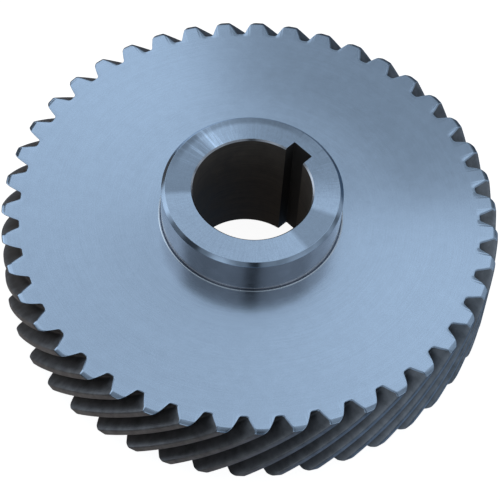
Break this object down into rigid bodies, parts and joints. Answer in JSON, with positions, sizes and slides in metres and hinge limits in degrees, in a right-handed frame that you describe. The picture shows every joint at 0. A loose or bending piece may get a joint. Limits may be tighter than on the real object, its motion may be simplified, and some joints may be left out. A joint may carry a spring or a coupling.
{
  "type": "helical gear",
  "caption": "Steel right-hand helical gear with 45 degree teeth, and a keyed, bored hub that stands up from one face of the toothed disc.",
  "frame": {"origin": "on the bore axis, in the plane of the hub sleeve's short end, where the gear rests", "axes": "+Z along the bore axis towards the long end of the hub; +Y through the middle of the keyway; +X follows right-handed"},
  "size_m": [0.1256, 0.1256, 0.036],
  "materials": {
    "disc_steel": "fine-turned satin faces, dark hobbed tooth flanks",
    "hub_steel": "smooth-turned, brighter than the disc, dark bore"
  },
  "bodies": {
    "root": {"gear_disc": "disc_steel", "hub_sleeve": "hub_steel"}
  },
  "joints": []
}
